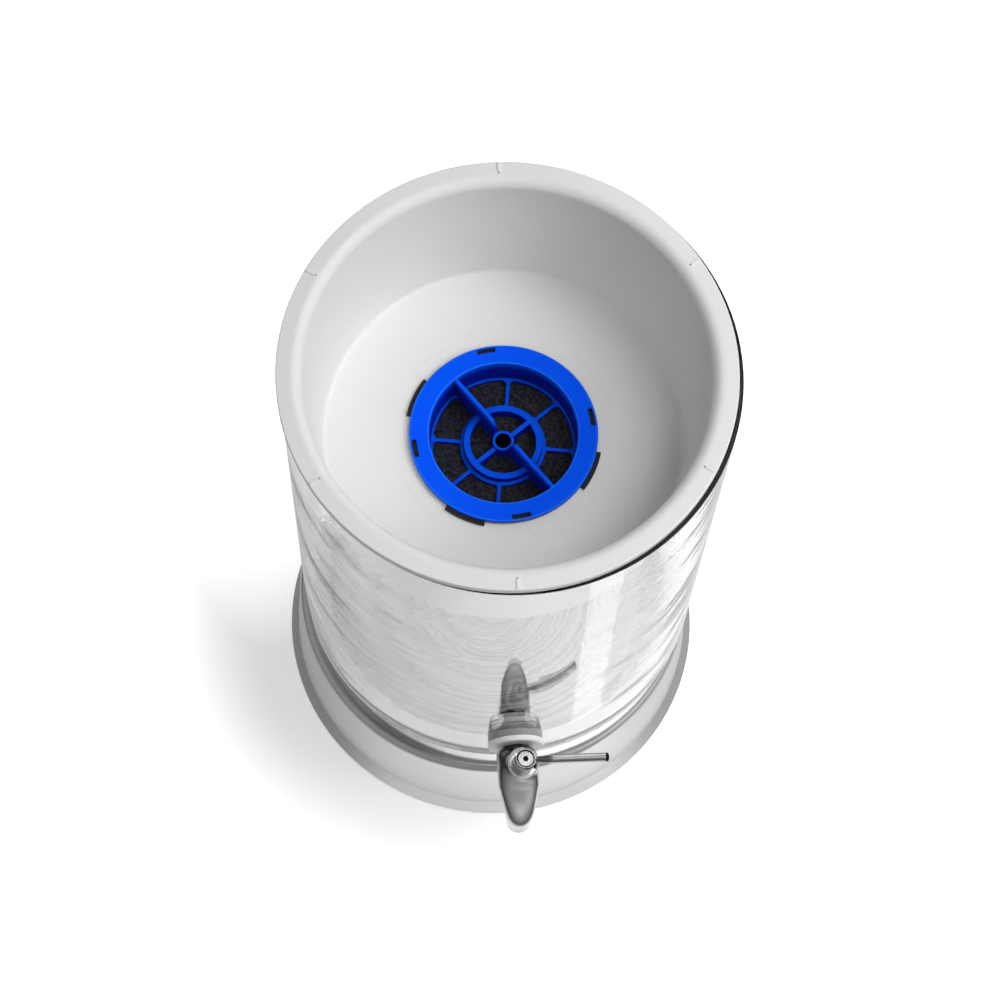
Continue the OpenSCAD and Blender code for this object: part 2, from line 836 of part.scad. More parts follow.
module tray()
    color("whitesmoke")
        difference() {
            union() {
                rotate_extrude()
                    polygon(tray_section());
                for (k = [0:rib_count - 1])
                    rotate(rib_az + 360 * k / rib_count)
                        translate([rib_start_r, -rib_w / 2, tray_top_z - cut])
                            cube([rib_len, rib_w, rib_h + cut]);
                for (a = quarters)
                    rotate(pad_az + a)
                        translate([0, -pad_w / 2, tray_under_z - pad_t])
                            cube([pad_out_r, pad_w, pad_t + tray_floor_t / 2]);
            }
            translate([0, 0, tray_under_z - pad_t - cut])
                linear_extrude(pad_t + tray_floor_t + cut + cut) {
                    circle(hole_r);
                    for (a = quarters)
                        ring_piece(hole_r - cut, notch_r, notch_half, lug_az + a);
                }
        }

// The gasket: a flat ring with tabs over three of the floor's four notches
module filter_gasket()
    color("black")
        translate([0, 0, tray_floor_z])
            linear_extrude(gasket_t) {
                difference() {
                    circle(flange_r - gasket_inset);
                    circle(hole_r);
                }
                for (a = tab_turns)
                    ring_piece(hole_r + cut, tab_r, tab_half, lug_az + a);
            }

// Outline of a window between two spokes, from azimuth 0 to sweep, with rounded corners
function window_points(r0, r1, half0, half1, sweep, round0, round1) =
    let (near1 = asin((half0 + round1) / (r1 - round1)),
         near0 = asin((half0 + round0) / (r0 + round0)),
         far1 = sweep - asin((half1 + round1) / (r1 - round1)),
         far0 = sweep - asin((half1 + round0) / (r0 + round0)),
         c1 = r1 - round1,
         c0 = r0 + round0)
    concat(
        arc(c1 * cos(near1), c1 * sin(near1), round1, -90, near1),
        arc(0, 0, r1, near1, far1),
        arc(c1 * cos(far1), c1 * sin(far1), round1, far1, sweep + 90),
        arc(c0 * cos(far0), c0 * sin(far0), round0, sweep + 90, 180 + far0),
        arc(0, 0, r0, far0, near0),
        arc(c0 * cos(near0), c0 * sin(near0), round0, 180 + near0, 270));

// Eight windows outside the ring and four inside it, which run on under the ring and the hub
module grille_windows() {
    for (k = [0:7])
        let (half0 = k % 4 == 0 ? fin_t / 2 : spoke_w / 2,
             half1 = k % 4 == 3 ? fin_t / 2 : spoke_w / 2)
        rotate(fin_az + 45 * k)
            polygon(window_points(ring_step_r, window_r, half0, half1, 45,
                                  window_round_in, window_round));
    for (a = [0, 180])
        rotate(fin_az + a) {
            polygon(window_points(hub_r - cap_edge, ring_in_r + cap_edge,
                                  fin_t / 2, short_spoke_w / 2, 90, cap_edge, cap_edge));
            rotate(90)
                polygon(window_points(hub_r - cap_edge, ring_in_r + cap_edge,
                                      short_spoke_w / 2, fin_t / 2, 90, cap_edge, cap_edge));
        }
}

// Half of the fin: level with the flange, then a quarter ellipse down to the hub
function fin_outline() = concat(
    [[hub_r - fin_t / 2, grille_low_z],
     [recess_r + cap_edge, grille_low_z],
     [recess_r + cap_edge, cap_z]],
    [for (i = [0:arc_steps + arc_steps])
        let (a = 90 - 90 * i / (arc_steps + arc_steps))
        [fin_fall_r - (fin_fall_r - hub_r) * cos(a),
         grille_z + hub_h + (cap_z - grille_z - hub_h) * sin(a)]],
    [[hub_r - fin_t / 2, grille_z + hub_h]]);

module cap_shell()
    difference() {
        rotate_extrude()
            polygon([[0, grille_low_z],
                     [cup_out_r - cap_edge, grille_low_z],
                     [cup_out_r, grille_low_z + cap_edge],
                     [cup_out_r, flange_z],
                     [flange_r, flange_z],
                     [flange_r, cap_z - cap_edge],
                     [flange_r - cap_edge, cap_z],
                     [recess_r + cap_edge, cap_z],
                     [recess_r, cap_z - cap_edge],
                     [recess_r - cap_draft, grille_z + cap_fillet],
                     [recess_r - cap_draft - cap_fillet, grille_z],
                     [0, grille_z]]);
        translate([0, 0, grille_low_z - cut])
            linear_extrude(grille_t + cut + cut)
                grille_windows();
        for (a = quarters)
            translate([0, 0, flange_z - cut])
                linear_extrude(flange_t + cut + cut)
                    ring_piece(slot_r - slot_w / 2, slot_r + slot_w / 2,
                               asin(slot_len / 2 / slot_r), slot_az + a);
    }

module filter_cap()
    color("royalblue")
        difference() {
            union() {
                cap_shell();
                flat_ring(ring_in_r, ring_out_r, grille_low_z, grille_t + ring_h);
                translate([0, 0, hub_low_z])
                    cylinder(r = hub_r, h = grille_z + hub_h - hub_low_z);
                rotate(fin_az)
                    for (a = [0, 180])
                        rotate(a) {
                            rotate([90, 0, 0])
                                translate([0, 0, -fin_t / 2])
                                    linear_extrude(fin_t)
                                        polygon(fin_outline());
                            rotate(90)
                                translate([hub_r - fin_t / 2, -short_spoke_w / 2, grille_low_z])
                                    cube([ring_out_r - hub_r, short_spoke_w, grille_t + ring_h]);
                        }
            }
            translate([0, 0, hub_low_z + hub_floor_t])
                cylinder(r = hub_bore_r, h = hub_bore_d + cut);
        }

// Radius of the housing's inside at height z: straight down to the foam, then a taper
function bed_r(z) =
    z >= foam_z ? housing_in_r
    : housing_tip_r - housing_wall
        + (housing_in_r - housing_tip_r + housing_wall) * (z - filter_low_z) / (foam_z - filter_low_z);

// A layer of the filling, from z0 up to z1, with a hole round the hub's boss if it has one
module bed(z0, z1, hole)
    rotate_extrude()
        polygon([[hole, z0],
                 [bed_r(z0) - snug, z0],
                 [bed_r(z1) - snug, z1],
                 [hole, z1]]);

module filter_fabric()
    color("dimgray")
        bed(fabric_z, grille_low_z, hub_r + snug);

module filter_foam()
    color("lightyellow")
        bed(foam_z, fabric_z, hub_r + snug);

module carbon_bed()
    color("black")
        bed(carbon_z, foam_z, 0);

module resin_bed()
    color("goldenrod")
        bed(resin_z, carbon_z, 0);

module filter_membrane()
    color("white")
        bed(membrane_z, resin_z, 0);

// A rib down the outside of the housing's taper
module housing_rib()
    rotate([90, 0, 0])
        translate([0, 0, -housing_rib_w / 2])
            linear_extrude(housing_rib_w)
                polygon([[bed_r(filter_low_z) + housing_wall / 2, filter_low_z + housing_rib_end],
                         [housing_tip_r + housing_rib_h, filter_low_z + housing_rib_end + housing_rib_h],
                         [housing_neck_r, foam_z],
                         [housing_neck_r - housing_wall / 2, foam_z]]);

// The housing: a neck that clears the tray's hole, a ribbed taper, drain slots and four lugs
module filter_housing()
    color("whitesmoke")
        difference() {
            union() {
                rotate_extrude()
                    polygon([[0, filter_low_z],
                             [housing_tip_r - housing_corner, filter_low_z],
                             [housing_tip_r, filter_low_z + housing_corner],
                             [housing_neck_r, foam_z],
                             [housing_neck_r, flange_z],
                             [housing_in_r, flange_z],
                             [housing_in_r, foam_z],
                             [bed_r(membrane_z), membrane_z],
                             [0, membrane_z]]);
                for (k = [0:housing_ribs - 1])
                    rotate(lug_az + 360 * (k + 0.5) / housing_ribs)
                        housing_rib();
                for (a = quarters)
                    translate([0, 0, lug_z])
                        linear_extrude(lug_h)
                            ring_piece(housing_in_r + housing_wall / 2, lug_r, lug_half, lug_az + a);
            }
            for (k = [0:drain_slots - 1])
                rotate(360 * k / drain_slots)
                    translate([drain_in_r, -drain_w / 2, filter_low_z - cut])
                        cube([drain_out_r - drain_in_r, drain_w, housing_floor_t + cut + cut]);
        }

stand_shell();
stand_foot_ring();
stand_seat_pad();
collar_band();
glass_pad();
glass_vessel();
tap_body();
tap_washer_front();
tap_washer_back();
tap_washer_inner();
tap_nut();
valve_liner();
valve_bonnet();
valve_plug();
plug_o_rings();
lever_hub();
lever_rod();
hub_screw();
tray();
filter_gasket();
filter_cap();
filter_fabric();
filter_foam();
filter_housing();
carbon_bed();
resin_bed();
filter_membrane();
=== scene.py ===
# %% [markdown]
# # Gravity water filter with tap
# This lesson dresses a water filter for a worktop: a glass tank on a satin steel pedestal, a small
# steel tap, a pale upper tray and a blue filter cap in the tray's floor. The solids come from a
# CAD frame that is loaded first and never moved, so every Blender piece is built round it, in
# metres, with the tap along -Y and the worktop at height zero.

# %% Load the frame
from math import cos, pi, radians, sin

import bmesh
import bpy
import numpy as np
from mathutils import Matrix, Vector


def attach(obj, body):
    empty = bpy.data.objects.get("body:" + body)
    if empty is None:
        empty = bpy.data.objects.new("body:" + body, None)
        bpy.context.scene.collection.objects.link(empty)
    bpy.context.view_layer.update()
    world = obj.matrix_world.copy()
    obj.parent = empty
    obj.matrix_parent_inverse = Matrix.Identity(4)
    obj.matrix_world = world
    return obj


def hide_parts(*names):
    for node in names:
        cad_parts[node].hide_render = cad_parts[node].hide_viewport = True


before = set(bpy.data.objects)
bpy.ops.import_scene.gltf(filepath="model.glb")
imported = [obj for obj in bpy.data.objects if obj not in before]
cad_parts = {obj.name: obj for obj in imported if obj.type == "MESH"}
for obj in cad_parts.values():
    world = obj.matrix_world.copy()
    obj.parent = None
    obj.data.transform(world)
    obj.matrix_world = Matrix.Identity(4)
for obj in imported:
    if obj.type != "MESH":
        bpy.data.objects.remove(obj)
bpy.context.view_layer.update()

MM = 0.001
print("nodes in the frame:", len(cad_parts))

# %% [markdown]
# ## The camera
# The picture was taken from high in front with a long lens, so the circles of the rim, the floor
# and the cap fix where the camera stood. A camera could be aimed with a constraint, but a heading,
# a pitch and a small roll written into a matrix say the same thing without leaving a rig behind.

# %% Camera
CAMERA_AT = Vector((-0.0740, -0.5265, 1.6609))
HEADING, PITCH, ROLL = radians(8.052), radians(69.787), radians(-3.915)
SENSOR, FOCAL = 36.0, 100.21

ahead = Vector((sin(HEADING) * cos(PITCH), cos(HEADING) * cos(PITCH), -sin(PITCH)))
level = Vector((cos(HEADING), -sin(HEADING), 0))
below = ahead.cross(level)
to_right = level * cos(ROLL) + below * sin(ROLL)
to_bottom = below * cos(ROLL) - level * sin(ROLL)

lens = bpy.data.cameras.new("photo_camera")
lens.sensor_width, lens.lens = SENSOR, FOCAL
lens.clip_start, lens.clip_end = 0.05, 50
camera = bpy.data.objects.new("photo_camera", lens)
camera.matrix_world = (Matrix.Translation(CAMERA_AT)
                       @ Matrix((to_right, -to_bottom, -ahead)).transposed().to_4x4())
bpy.context.scene.collection.objects.link(camera)
bpy.context.scene.camera = camera
bpy.context.scene.view_settings.view_transform = "Standard"
print("camera at", tuple(round(c, 3) for c in CAMERA_AT), "with a lens of", FOCAL, "mm")

# %% [markdown]
# ## Writing shader sums as Python
# Node trees are wordy to build by hand. One small class wraps an output socket, so that `a * 2 + b`
# adds the Math nodes itself, and its `node` method makes any other node. Colours and vectors go
# through Mix and Vector Math nodes, because a Math node would turn them grey.

# %% The socket class
class Wire:
    """An output socket of a shader tree, on which sums can be written."""

    def __init__(self, tree, socket):
        self.tree, self.socket = tree, socket

    def node(self, kind, settings=None, inputs=None, output=0):
        """Add a node: its settings first, then the values or links of its inputs."""
        made = self.tree.nodes.new(kind)
        for name, value in (settings or {}).items():
            setattr(made, name, value)
        for name, value in (inputs or {}).items():
            if isinstance(value, Wire):
                self.tree.links.new(value.socket, made.inputs[name])
            else:
                made.inputs[name].default_value = value
        return Wire(self.tree, made.outputs[output])

    def _sum(self, operation, first, second=None):
        inputs = {i: w for i, w in enumerate((first, second)) if w is not None}
        wide = any(isinstance(w, Wire) and w.socket.type in ("VECTOR", "RGBA")
                   for w in inputs.values())
        if wide:
            inputs = {i: w if isinstance(w, (Wire, tuple)) else (w, w, w)
                      for i, w in inputs.items()}
        kind = "ShaderNodeVectorMath" if wide else "ShaderNodeMath"
        return self.node(kind, {"operation": operation}, inputs)

    def __add__(self, other):
        return self._sum("ADD", self, other)

    def __sub__(self, other):
        return self._sum("SUBTRACT", self, other)

    def __rsub__(self, other):
        return self._sum("SUBTRACT", other, self)

    def __mul__(self, other):
        return self._sum("MULTIPLY", self, other)

    def __truediv__(self, other):
        return self._sum("DIVIDE", self, other)

    def __abs__(self):
        return self._sum("ABSOLUTE", self)

    def __gt__(self, other):
        return self._sum("GREATER_THAN", self, other)

    def __lt__(self, other):
        return self._sum("LESS_THAN", self, other)

    def root(self):
        return self._sum("SQRT", self)

    def least(self, other):
        return self._sum("MINIMUM", self, other)

    def most(self, other):
        return self._sum("MAXIMUM", self, other)

    __radd__, __rmul__ = __add__, __mul__

    def ramp(self, low, high, start=0.0, end=1.0):
        """Map low..high onto start..end, smoothly and without running past them."""
        return self.node("ShaderNodeMapRange", {"interpolation_type": "SMOOTHSTEP"},
                         {"Value": self, "From Min": low, "From Max": high,
                          "To Min": start, "To Max": end})

    def tint(self, empty, full):
        """A colour between two colours, by this wire as the share of the second."""
        return self.node("ShaderNodeMix", {"data_type": "RGBA"},
                         {0: self, 6: colour(empty), 7: colour(full)}, output=2)

    def parts(self):
        """The X, Y and Z of a vector."""
        first = self.node("ShaderNodeSeparateXYZ", None, {0: self})
        outputs = first.socket.node.outputs
        return [Wire(self.tree, outputs[i]) for i in range(3)]

    def noise(self, scale, detail=3.0, roughness=0.5):
        return self.node("ShaderNodeTexNoise", None,
                         {"Vector": self, "Scale": scale, "Detail": detail,
                          "Roughness": roughness})

    def mottle(self, scale, low=0.0, high=1.0, detail=3.0):
        """Soft patches that wander between low and high."""
        return self.noise(scale, detail).ramp(0.3, 0.7, low, high)

    def bump(self, distance, strength=1.0):
        """A Normal from this wire as a height in metres times distance."""
        return self.node("ShaderNodeBump", None,
                         {"Height": self, "Distance": distance, "Strength": strength})

    def grain(self, scale, height):
        """A Normal with a fine even grain."""
        return self.noise(scale, 2.0).bump(height, 0.5)


def grey(shade):
    return (shade, shade, shade, 1.0) if isinstance(shade, (int, float)) else (*shade[:3], 1.0)


def colour(value):
    return value if isinstance(value, Wire) else grey(value)


def joined(x, y, z):
    """Three wires as one vector."""
    return x.node("ShaderNodeCombineXYZ", None, {0: x, 1: y, 2: z})


def span(x, y):
    """How far a point lies from the middle, by its two coordinates."""
    return (x * x + y * y).root()


def facing(at):
    """The X, Y and Z of the way that the skin faces."""
    return at.node("ShaderNodeTexCoord", output="Normal").parts()


print("sums on sockets are ready")

# %% [markdown]
# ## A finish
# Each material is one Principled shader. A finish is given its constants directly, and its varying
# inputs as wires that start from the object's own coordinates, which are the CAD's metres here.

# %% The finish helper
def finish(name, **constants):
    """A new material, its Principled shader with constants set, and its coordinates in metres."""
    material = bpy.data.materials.new(name)
    material.use_nodes = True
    tree = material.node_tree
    shader = next(n for n in tree.nodes if n.type == "BSDF_PRINCIPLED")
    for socket, value in constants.items():
        shader.inputs[socket.replace("_", " ")].default_value = value
    start = tree.nodes.new("ShaderNodeTexCoord")
    return material, shader, Wire(tree, start.outputs["Object"])


def feed(shader, **wires):
    """Link wires to the shader's inputs, such as Base_Color=..., Normal=..."""
    for socket, wire in wires.items():
        wire.tree.links.new(wire.socket, shader.inputs[socket.replace("_", " ")])


print("finishes are made with finish() and feed()")

# %% [markdown]
# ## The studio
# The photograph is a cut-out on white. A white world would flatten every form, so the world gives
# the surfaces only a little even light, and soft lamps model them. A Light Path node tells which
# kind of ray asks: polished steel mirrors a grey ceiling with one bright panel over a dark horizon,
# as in a real studio, and the glass shows air that is a little darker than the white round it, or
# the clear tank would be lost from the sides.

# %% World
AIR_LIGHT, THROUGH_GLASS, BACKDROP = 0.09, 0.86, 1.0
HORIZON, CEILING, CEILING_FROM, CEILING_FULL = 0.06, 0.34, 0.05, 0.55
PANEL, PANEL_EDGE, PANEL_FULL = 1.0, 0.84, 0.90
PANEL_WAY = Vector((0.62, -0.10, 0.78))


def rays(tree, *kinds):
    """One wire for each kind of ray, which is 1 when such a ray asks for the shade."""
    path = tree.nodes.new("ShaderNodeLightPath").outputs
    return [Wire(tree, path[f"Is {kind} Ray"]) for kind in kinds]


world = bpy.data.worlds.new("studio_air")
world.use_nodes = True
bpy.context.scene.world = world
tree = world.node_tree
over, front, up = Wire(tree, tree.nodes.new("ShaderNodeTexCoord").outputs["Generated"]).parts()
ceiling = up.ramp(CEILING_FROM, CEILING_FULL).tint(HORIZON, CEILING)
to_panel = over * PANEL_WAY.x + front * PANEL_WAY.y + up * PANEL_WAY.z
mirrored = to_panel.ramp(PANEL_EDGE, PANEL_FULL).tint(ceiling, PANEL)
by_camera, by_mirror, by_glass = rays(tree, "Camera", "Glossy", "Transmission")
air = by_glass.tint(by_mirror.tint(AIR_LIGHT, mirrored), THROUGH_GLASS)
air = by_camera.tint(air, BACKDROP)
tree.links.new(air.socket, tree.nodes["Background"].inputs["Color"])
print("air light", AIR_LIGHT, "and a mirrored ceiling of", CEILING)

# %% [markdown]
# ## The worktop
# The filter stands on plain white paper. A shadow catcher would need a second picture laid over
# the first, so the worktop is one large square, lit like everything else, which keeps the shadow.

# %% Floor
FLOOR_HALF = 6.0
floor_mesh = bpy.data.meshes.new("worktop")
floor_mesh.from_pydata([(-FLOOR_HALF, -FLOOR_HALF, 0), (FLOOR_HALF, -FLOOR_HALF, 0),
                        (FLOOR_HALF, FLOOR_HALF, 0), (-FLOOR_HALF, FLOOR_HALF, 0)],
                       [], [(0, 1, 2, 3)])
worktop = bpy.data.objects.new("worktop", floor_mesh)
bpy.context.scene.collection.objects.link(worktop)
paper, paper_shader, at = finish("backdrop_paper", Base_Color=grey(0.80), Roughness=0.9,
                                 Specular_IOR_Level=0.0, Emission_Strength=1.0)
floor_mesh.materials.append(paper)
print("worktop of", 2 * FLOOR_HALF, "m")

# %% [markdown]
# The photo's cut-out fades to white within a hand's width of the foot, and behind the filter the
# paper is white at once. So the camera sees the paper glow more the further out it is, with the
# least glow a little to the left of the foot, where the shadow lies.

# %% Glow round the foot
SHADE_AT, SHADE_FROM, SHADE_TO, SHADE_LIFT = (-0.020, -0.003), 0.12, 0.21, 0.48
BACK_FROM, BACK_FULL = -0.13, 0.12

x, y, _ = at.parts()
glow = span(x - SHADE_AT[0], y - SHADE_AT[1]).ramp(SHADE_FROM, SHADE_TO, SHADE_LIFT, 1.0)
glow = glow.most(y.ramp(BACK_FROM, BACK_FULL))
print("the paper glows from", SHADE_LIFT, "at the foot to 1")

# %% [markdown]
# The tank's front mirrors the paper before it. A bright upright strip shows there on the right, so
# the paper has a strip of light between two straight edges, which only mirrors can see.

# %% Mirrored strip
STRIP_LIGHT, STRIP_FROM, STRIP_SOFT, EDGE_LONG = 0.38, 0.152, 0.001, 0.1
STRIP_EDGES = (((0.056, -0.130), (0.066, -0.074)), ((0.072, -0.111), (0.087, -0.049)))
MIRROR_LIFT, MIRROR_SIDES, MIDDLE, SIDE = 0.60, 0.22, 0.03, 0.18

past_left, past_right = (((y - start[1]) * way[0] - (x - start[0]) * way[1]) / EDGE_LONG
                         for start, way in STRIP_EDGES)
strip = (past_left.ramp(-STRIP_SOFT, STRIP_SOFT)
         * past_right.ramp(-STRIP_SOFT, STRIP_SOFT, 1.0, 0.0))
from_foot = span(x, y)
strip = strip * (from_foot > STRIP_FROM) * STRIP_LIGHT
mirrored = glow.least(abs(x).ramp(MIDDLE, SIDE, MIRROR_LIFT, MIRROR_SIDES)) + strip
by_camera, by_mirror, by_glass = rays(paper.node_tree, "Camera", "Glossy", "Transmission")
shown = by_camera.most(by_glass) * glow + by_mirror * mirrored
feed(paper_shader, Emission_Color=joined(shown, shown, shown))
print("strip of light", STRIP_LIGHT, "for mirrors only")

# %% [markdown]
# Far out, the paper that shows through the glass takes the same shade as the air behind it. That
# needs a second shader for those rays alone, and a Mix Shader chooses between the two.

# %% Paper far behind the glass
FAR_FROM, FAR_FULL = 0.25, 0.55


def show_either(material, shader, other, share):
    """Show the other shader in the Principled one's place, by a wire as the other's share."""
    tree = material.node_tree
    both = share.node("ShaderNodeMixShader", None,
                      {0: share, 1: Wire(tree, shader.outputs[0]), 2: other})
    out = next(n for n in tree.nodes if n.type == "OUTPUT_MATERIAL")
    tree.links.new(both.socket, out.inputs["Surface"])


far = by_glass * from_foot.ramp(FAR_FROM, FAR_FULL)
dimmed = far.node("ShaderNodeEmission", None, {"Color": grey(THROUGH_GLASS), "Strength": 1.0})
show_either(paper, paper_shader, dimmed, far)
print("behind the glass the far paper is", THROUGH_GLASS)

# %% [markdown]
# ## The lamps
# The right inside of the tray is dark and its left side bright, so the main light is high on the
# right. The powers of the lamps at the right and in front were solved for: one render per lamp,
# then the sum that comes nearest to the photo's greys on the tray. The lamp low at the back left
# lights the side that the photo doesn't show.

# %% Lamps
LAMP_AIM, LAMP_DISTANCE, LAMP_SIZE = Vector((0, 0, 0.36)), 1.3, 0.6
LAMPS = {"high_right": (0, 65, 7.1), "low_front_right": (-30, 35, 5.4), "low_right": (0, 38, 2.1),
         "front_fill": (-90, 60, 2.6), "back_right": (60, 25, 1.8), "low_back_left": (150, -8, 5.0)}


def softbox(name, azimuth, height, watts):
    """A square area lamp at an azimuth and a height in degrees, turned to the filter."""
    lamp = bpy.data.lights.new(name, "AREA")
    lamp.shape, lamp.size, lamp.energy = "SQUARE", LAMP_SIZE, watts
    box = bpy.data.objects.new(name, lamp)
    a, h = radians(azimuth), radians(height)
    way = Vector((cos(a) * cos(h), sin(a) * cos(h), sin(h)))
    box.matrix_world = (Matrix.Translation(LAMP_AIM + way * LAMP_DISTANCE)
                        @ (-way).to_track_quat("-Z", "Y").to_matrix().to_4x4())
    bpy.context.scene.collection.objects.link(box)
    box.visible_camera = box.visible_glossy = False


for name, (azimuth, height, watts) in LAMPS.items():
    softbox(name, azimuth, height, watts)
print("lamps:", ", ".join(LAMPS))

# %% [markdown]
# ## Pale moulded plastic
# The tray is injection moulded: a soft sheen, a hardly visible grain, and on the floor the faint
# outlines of the four pads under it, where thicker plastic shrank a little as it cooled. Those
# outlines, and the tiny pits beside the rim's ribs, are painted shade in the colour.

# %% Marks on the tray
PAD_TURN, PAD_REACH, PAD_HALF, LINE_HALF = radians(30), 57 * MM, 18 * MM, 0.12 * MM
TRAY_FLOOR, FLOOR_SKIN = 314.8 * MM, 0.1 * MM
RIM_TOP, RIM_SKIN = 402.0 * MM, 0.2 * MM
DOT_TURN, DOT_STEP, DOT_AT, DOT_R = radians(88), radians(60), 107.7 * MM, 0.4 * MM


def pad_line_shade(x, y, z):
    """1 on the outlines of the four pads, on top of the tray's floor: lines of painted shade."""
    p = abs(x * cos(PAD_TURN) + y * sin(PAD_TURN))
    q = abs(y * cos(PAD_TURN) - x * sin(PAD_TURN))
    far, near = p.most(q), p.least(q)
    end = (abs(far - PAD_REACH) < LINE_HALF) * (near < PAD_HALF)
    side = (abs(near - PAD_HALF) < LINE_HALF) * (far < PAD_REACH)
    return end.most(side) * (abs(z - TRAY_FLOOR) < FLOOR_SKIN)


def rim_pit_shade(x, y, z):
    """1 on six tiny pits beside the ribs of the rim, painted dark as their shade."""
    turn = y.node("ShaderNodeMath", {"operation": "ARCTAN2"}, {0: y, 1: x})
    sixth = (turn - DOT_TURN) / DOT_STEP
    nearest = sixth.node("ShaderNodeMath", {"operation": "ROUND"}, {0: sixth})
    aside, along = (sixth - nearest) * DOT_STEP * DOT_AT, span(x, y) - DOT_AT
    return (aside * aside + along * along < DOT_R * DOT_R) * (z > RIM_TOP - RIM_SKIN)


print("marks:", pad_line_shade.__name__, rim_pit_shade.__name__)

# %% Pale plastic
PALE_LOW, PALE_HIGH = (0.800, 0.800, 0.798), (0.825, 0.825, 0.823)
LINE_SHADE, LINE_SHARE, PIT_SHADE = 0.35, 0.24, 0.05


def pale_plastic():
    material, shader, at = finish("pale_plastic", Roughness=0.42, IOR=1.49)
    x, y, z = at.parts()
    body = at.mottle(9.0, detail=2.0).tint(PALE_LOW, PALE_HIGH)
    # painted shade: thin darker lines on the pad outlines
    with_shade_lines = (pad_line_shade(x, y, z) * LINE_SHARE).tint(body, LINE_SHADE)
    # painted shade: the rim's tiny pits are near black
    feed(shader, Base_Color=rim_pit_shade(x, y, z).tint(with_shade_lines, PIT_SHADE),
         Roughness=at.mottle(260.0, 0.38, 0.48),
         Normal=at.grain(1800.0, 0.00002))
    return material


PALE = pale_plastic()
print("made", PALE.name)

# %% [markdown]
# ## Blue plastic
# The cap is a saturated blue with a satin skin. Its flange is the brightest, what lies deeper is
# darker, and the upright walls are darkest. The hub's socket reads as black. Less light would
# darken the tray too, so this shade is painted into the colour, which changes with the height,
# the distance from the axis and the way the skin faces; the socket is painted black, and thin
# painted highlights run along the flange's two edges. What it throws onto the white tray is kept
# nearly grey.

# %% Blue plastic
HUB_BORE, SOCKET_TOP, CAP_TOP, CAP_WALL_R = 4.25 * MM, 306.2 * MM, 318.7 * MM, 36 * MM
FLANGE_DEEP, FLANGE_SKIN, STEEP, FLAT = 7 * MM, 0.6 * MM, 0.3, 0.8
LINE_IN, LINE_OUT, LINE_CORE, LINE_FADE = 39.3 * MM, 48.6 * MM, 0.15 * MM, 0.5 * MM
LINE_LIGHT = 0.5
FLANGE_LOW, FLANGE_HIGH = (0.0004, 0.088, 1.00), (0.0004, 0.098, 1.00)
FLANGE_HIGHLIGHT, GRILLE_PAINTED_SHADE = (0.030, 0.24, 1.00), (0.0010, 0.085, 0.86)
INNER_WALL_PAINTED_SHADE, OUTER_WALL_PAINTED_SHADE = (0.0004, 0.014, 0.50), (0.0004, 0.012, 0.46)
SOCKET_SHADE, THROWN = (0.002, 0.002, 0.003), (0.06, 0.08, 0.10)


def blue_plastic():
    material, shader, at = finish("blue_plastic", Roughness=0.4, IOR=1.47,
                                  Specular_IOR_Level=0.12)
    x, y, z = at.parts()
    off_axis = span(x, y)
    # painted shade: the grille and the upright walls are darker than the flange
    faces_up = facing(at)[2].ramp(STEEP, FLAT)
    deep = faces_up.tint((off_axis > CAP_WALL_R).tint(INNER_WALL_PAINTED_SHADE, OUTER_WALL_PAINTED_SHADE), GRILLE_PAINTED_SHADE)
    # painted highlights: thin lighter lines along the flange's inner and outer edges
    to_line = abs(off_axis - LINE_IN).least(abs(off_axis - LINE_OUT))
    flange = at.mottle(35.0, detail=2.0).tint(FLANGE_LOW, FLANGE_HIGH)
    top = to_line.ramp(LINE_CORE, LINE_FADE, LINE_LIGHT, 0.0).tint(flange, FLANGE_HIGHLIGHT)
    # painted shade: below the flange the darker colours take over
    body = z.ramp(CAP_TOP - FLANGE_DEEP, CAP_TOP - FLANGE_SKIN).tint(deep, top)
    # painted shade: the hub's socket is black
    body = ((off_axis < HUB_BORE) * (z < SOCKET_TOP)).tint(body, SOCKET_SHADE)
    [by_surroundings] = rays(material.node_tree, "Diffuse")
    feed(shader, Base_Color=by_surroundings.tint(body, THROWN),
         Roughness=at.mottle(300.0, 0.34, 0.46),
         Normal=at.grain(2200.0, 0.00002))
    return material


BLUE = blue_plastic()
print("made", BLUE.name)

# %% [markdown]
# ## Steel
# Three steels: the pedestal is spun and satin, with fine rings round it, the collar is polished,
# and the nut and the valve are turned. Each is a metallic Principled whose roughness and bump
# follow noise that is stretched along the tool's path. The flanks of the pedestal's skirt are
# painted darker, a painted shade, and the polished collar is painted lighter on the right than on
# the left, a painted reflection.

# %% Steel
SPUN_FROM, SPUN_R, SPUN_DEEP, SPUN_LINES, SPUN_DRIFT = 65 * MM, 112 * MM, 0.55, 620.0, 5.0
STREAK_FROM, STREAK_FULL = 0.42, 0.66
RING_DRIFT, SMEARED, PAINTED_LEAN_HALF = 3.0, 0.97, 60 * MM
SKIRT_TOP, SKIRT_END, FLANK_FROM, FLANK_FULL, FLANK_PAINTED_SHADE = (
    9.5 * MM, 11.5 * MM, 60 * MM, 105 * MM, 0.42)


def streaks(x, y, z):
    """How much darker the tool's rings make the spun top of the pedestal, under the tank."""
    out = span(x, y)
    fine = joined(out * SPUN_LINES, x * SPUN_DRIFT, y * SPUN_DRIFT).noise(1.0, 3.0, 0.6)
    dark = fine.ramp(STREAK_FROM, STREAK_FULL)
    return dark * (z > SPUN_FROM) * (out < SPUN_R) * SPUN_DEEP


def flanks(x, z):
    """How much darker the two sides of the skirt are painted at the foot of the pedestal: painted
    shade.
    """
    low = z.ramp(SKIRT_TOP, SKIRT_END, 1.0, 0.0)
    return low * abs(x).ramp(FLANK_FROM, FLANK_FULL) * FLANK_PAINTED_SHADE


